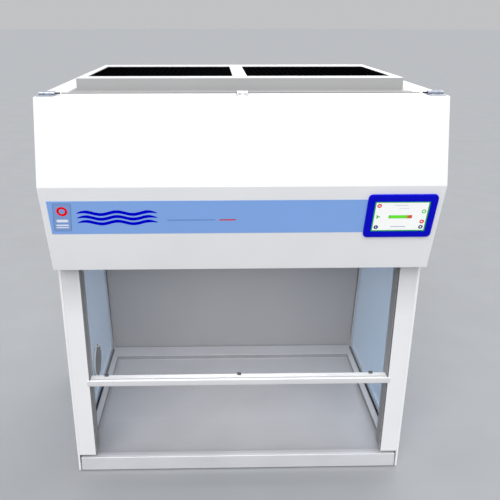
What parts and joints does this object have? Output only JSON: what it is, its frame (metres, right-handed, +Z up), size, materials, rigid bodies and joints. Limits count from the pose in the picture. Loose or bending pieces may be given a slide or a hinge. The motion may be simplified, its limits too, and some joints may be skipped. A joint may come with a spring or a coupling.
{
  "type": "fume hood",
  "caption": "Bench-top recirculating fume cupboard with sliding sash, hinged front cover, touch display, spill tray, side windows and roof exhaust filters.",
  "frame": {"origin": "on the bench under the middle of the cabinet's overall width and depth", "axes": "+Z up, +X to the right of a person facing the sash, -Y towards that person"},
  "size_m": [1, 0.8259, 1.1825],
  "materials": {
    "white_paint": "semi-gloss powder coat",
    "panel_paint": "semi-gloss powder coat",
    "grey_paint": "satin powder coat",
    "tray_steel": "satin",
    "galvanised": "satin",
    "clear_window": "clear",
    "clear_sash": "clear acrylic",
    "bar_white": "white powder coat",
    "black_mesh": "matt black",
    "carbon": "charcoal granules in a board frame",
    "filter_pad": "pleated fibre",
    "strip_blue": "printed film",
    "bezel_blue": "moulded",
    "screen": "lit display",
    "black_rubber": "matt",
    "black_plastic": "moulded",
    "grey_plastic": "moulded",
    "cover_steel": "satin",
    "hinge_steel": "satin",
    "dark_steel": "blackened",
    "motor_black": "satin",
    "weight_iron": "as cast",
    "circuit_green": "solder mask",
    "diffuser": "opal",
    "screw_steel": "bright"
  },
  "bodies": {
    "cabinet": {"side_panel_left": "panel_paint", "side_panel_right": "panel_paint", "side_window_left": "clear_window", "side_window_right": "clear_window", "pillar_left": "white_paint", "pillar_right": "white_paint", "back_panel": "white_paint", "rear_baffle": "grey_paint", "base_frame": "galvanised", "work_tray": "tray_steel", "rubber_feet": "black_rubber", "port_ring": "grey_plastic", "port_pivot_screw": "screw_steel", "chamber_ceiling": "grey_paint", "prefilter": "filter_pad", "prefilter_frame": "galvanised", "lamp_housing": "galvanised", "lamp_diffuser": "diffuser", "fan_plate": "galvanised", "fan_inlet_rings": "galvanised", "fan_motor_left": "motor_black", "fan_motor_right": "motor_black", "fan_bridges": "galvanised", "filter_shelf": "galvanised", "carbon_filter_left": "carbon", "carbon_filter_right": "carbon", "roof_panel": "white_paint", "exhaust_collar": "white_paint", "exhaust_meshes": "black_mesh", "front_bulkhead": "galvanised", "control_box": "galvanised", "main_circuit_board": "circuit_green", "gas_sensor": "grey_plastic", "mains_inlet": "black_plastic", "hinge_roof_leaves": "hinge_steel", "hinge_pins": "dark_steel", "pulley_brackets": "galvanised", "cable_wraps": "hinge_steel", "panel_screws": "screw_steel"},
    "fascia": {"fascia_cover": "white_paint", "label_strip": "strip_blue", "display_bezel": "bezel_blue", "display_screen": "screen", "display_housing": "black_plastic", "hinge_cover_leaves": "hinge_steel"},
    "sash": {"sash_glass": "clear_sash", "sash_bar": "bar_white", "sash_bumpers": "black_rubber", "sash_hangers": "galvanised", "sash_cables": "hinge_steel"},
    "weight_left": {"counterweight_left": "weight_iron", "weight_cable_left": "hinge_steel"},
    "weight_right": {"counterweight_right": "weight_iron", "weight_cable_right": "hinge_steel"},
    "sash_pulley_left": {"pulley_left": "grey_plastic"},
    "sash_pulley_right": {"pulley_right": "grey_plastic"},
    "fan_left": {"fan_impeller_left": "black_plastic"},
    "fan_right": {"fan_impeller_right": "black_plastic"},
    "port_flap": {"port_cover": "cover_steel"},
    "power_switch": {"rocker_switch": "black_plastic"}
  },
  "joints": [
    {"name": "cover_hinge", "type": "hinge", "parent": "cabinet", "child": "fascia", "pos_m": [0, -0.3225, 1.156], "axis": [-1, 0, 0], "range_deg": [0, 80]},
    {"name": "sash_slide", "type": "slide", "parent": "cabinet", "child": "sash", "axis": [0, 0, 1], "range_m": [-0.25, 0.15], "deforming": ["sash_cables"]},
    {"name": "weight_left_slide", "type": "slide", "parent": "cabinet", "child": "weight_left", "axis": [0, 0, 1], "range_m": [-0.15, 0.25], "deforming": ["weight_cable_left"]},
    {"name": "weight_right_slide", "type": "slide", "parent": "cabinet", "child": "weight_right", "axis": [0, 0, 1], "range_m": [-0.15, 0.25], "deforming": ["weight_cable_right"]},
    {"name": "pulley_left_spin", "type": "hinge", "parent": "cabinet", "child": "sash_pulley_left", "pos_m": [-0.468, -0.264, 1.112], "axis": [0, -1, 0], "range_deg": [-1440, 880]},
    {"name": "pulley_right_spin", "type": "hinge", "parent": "cabinet", "child": "sash_pulley_right", "pos_m": [0.468, -0.264, 1.112], "axis": [0, 1, 0], "range_deg": [-1440, 880]},
    {"name": "fan_left_spin", "type": "hinge", "parent": "cabinet", "child": "fan_left", "pos_m": [-0.24, 0.07, 0.86], "axis": [0, 0, 1], "continuous": true},
    {"name": "fan_right_spin", "type": "hinge", "parent": "cabinet", "child": "fan_right", "pos_m": [0.24, 0.07, 0.86], "axis": [0, 0, 1], "continuous": true},
    {"name": "port_cover_swivel", "type": "hinge", "parent": "cabinet", "child": "port_flap", "pos_m": [-0.4857, 0.05, 0.248], "axis": [1, 0, 0], "range_deg": [-100, 100]},
    {"name": "power_rocker", "type": "hinge", "parent": "cabinet", "child": "power_switch", "pos_m": [0.282, 0.401, 1.066], "axis": [1, 0, 0], "range_deg": [0, 12]}
  ],
  "couplings": [
    {"joint": "weight_left_slide", "follows": "sash_slide", "ratio": -1},
    {"joint": "weight_right_slide", "follows": "sash_slide", "ratio": -1},
    {"joint": "pulley_left_spin", "follows": "sash_slide", "rad_per_m": 100},
    {"joint": "pulley_right_spin", "follows": "sash_slide", "rad_per_m": 100}
  ]
}
